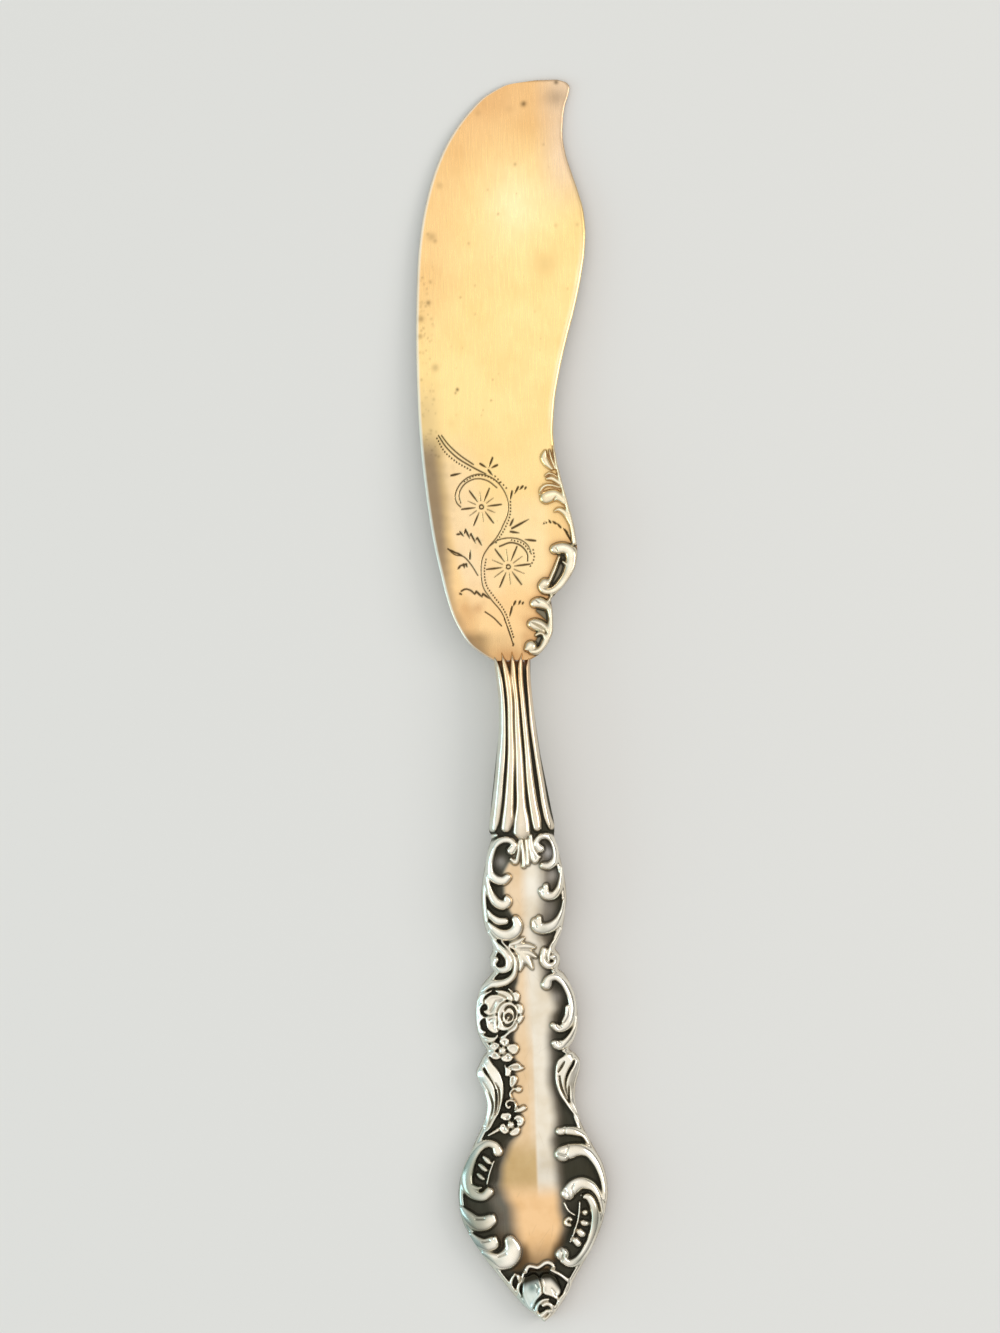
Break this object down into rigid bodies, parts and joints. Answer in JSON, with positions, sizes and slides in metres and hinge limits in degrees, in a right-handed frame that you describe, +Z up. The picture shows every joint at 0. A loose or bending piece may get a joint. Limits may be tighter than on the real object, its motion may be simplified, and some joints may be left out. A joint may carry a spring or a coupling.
{
  "type": "butter knife",
  "caption": "Butter knife with a broad engraved blade, a cast scroll mount on its spine, a reeded neck and a loaded handle struck with scrolls and roses.",
  "frame": {"origin": "centre of the knife's box on the table it lies on", "axes": "+Y along the knife towards the blade's tip, +Z up through its front face, +X towards the spine"},
  "size_m": [0.026, 0.186, 0.008],
  "materials": {
    "blade_plate": "silver plate on a copper alloy, tarnished golden, satin",
    "mount_plate": "silver plate on a copper alloy, polished, dark in its recesses",
    "front_plate": "silver plate on a copper alloy, polished, dark in its recesses",
    "back_plate": "silver plate on a copper alloy, polished, lightly scratched",
    "loading": "dull resinous pitch",
    "solder": "dull grey solder"
  },
  "bodies": {
    "root": {"blade": "blade_plate", "spine_mount": "mount_plate", "handle_front": "front_plate", "handle_back": "back_plate", "handle_loading": "loading", "seam_solder": "solder", "neck_solder": "solder"}
  },
  "joints": []
}
